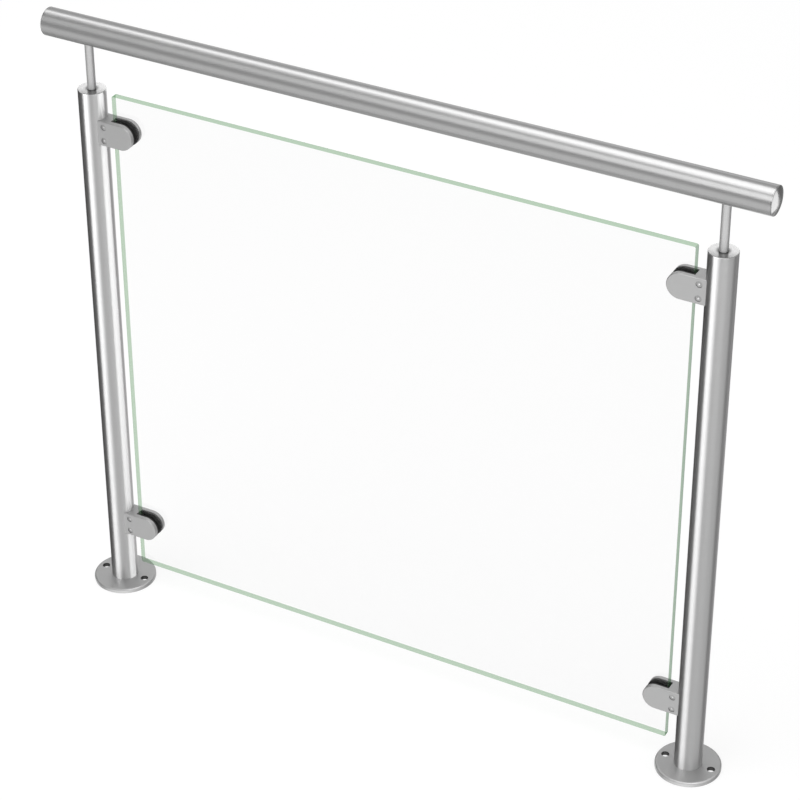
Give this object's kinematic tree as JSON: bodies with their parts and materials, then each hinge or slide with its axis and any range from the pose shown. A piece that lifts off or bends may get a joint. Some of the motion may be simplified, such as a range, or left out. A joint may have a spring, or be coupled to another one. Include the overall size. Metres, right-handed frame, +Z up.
{
  "type": "glass balustrade panel",
  "caption": "Free-standing balustrade panel: round steel posts on flanges, a round handrail on thin stems, and a clear glass pane held by D-shaped clamps.",
  "frame": {"origin": "on the floor, midway between the two posts", "axes": "+X along the handrail to the right, +Y through the glass away from the cover screws, +Z up"},
  "size_m": [1.146, 0.1, 1],
  "materials": {
    "flange_steel": "satin stainless plate, turned",
    "post_steel": "stainless tube, belt-brushed round the tube",
    "rail_steel": "stainless tube, belt-brushed round the tube",
    "cap_steel": "stainless, turned, with fine circular marks",
    "end_cap_steel": "stainless, turned, with fine circular marks",
    "stem_steel": "stainless rod, satin",
    "clamp_steel": "cast stainless, fine satin",
    "screw_steel": "stainless, bright",
    "fastener_steel": "zinc-plated steel, hidden",
    "pane_glass": "clear toughened glass with polished greenish edges",
    "gasket_rubber": "matt black"
  },
  "bodies": {
    "root": {"base_flange_left": "flange_steel", "base_flange_right": "flange_steel", "clamp_body_lower_left": "clamp_steel", "clamp_body_lower_right": "clamp_steel", "clamp_body_upper_left": "clamp_steel", "clamp_body_upper_right": "clamp_steel", "clamp_cover_lower_left": "clamp_steel", "clamp_cover_lower_right": "clamp_steel", "clamp_cover_upper_left": "clamp_steel", "clamp_cover_upper_right": "clamp_steel", "cover_screws_lower_left": "screw_steel", "cover_screws_lower_right": "screw_steel", "cover_screws_upper_left": "screw_steel", "cover_screws_upper_right": "screw_steel", "gasket_front_lower_left": "gasket_rubber", "gasket_front_lower_right": "gasket_rubber", "gasket_front_upper_left": "gasket_rubber", "gasket_front_upper_right": "gasket_rubber", "gasket_rear_lower_left": "gasket_rubber", "gasket_rear_lower_right": "gasket_rubber", "gasket_rear_upper_left": "gasket_rubber", "gasket_rear_upper_right": "gasket_rubber", "glass_pane": "pane_glass", "handrail_end_cap_left": "end_cap_steel", "handrail_end_cap_right": "end_cap_steel", "handrail_stem_left": "stem_steel", "handrail_stem_right": "stem_steel", "handrail_tube": "rail_steel", "post_bolt_lower_left": "fastener_steel", "post_bolt_lower_right": "fastener_steel", "post_bolt_upper_left": "fastener_steel", "post_bolt_upper_right": "fastener_steel", "post_cap_left": "cap_steel", "post_cap_right": "cap_steel", "post_insert_lower_left": "fastener_steel", "post_insert_lower_right": "fastener_steel", "post_insert_upper_left": "fastener_steel", "post_insert_upper_right": "fastener_steel", "post_tube_left": "post_steel", "post_tube_right": "post_steel", "rail_insert_left": "fastener_steel", "rail_insert_right": "fastener_steel"}
  },
  "joints": []
}
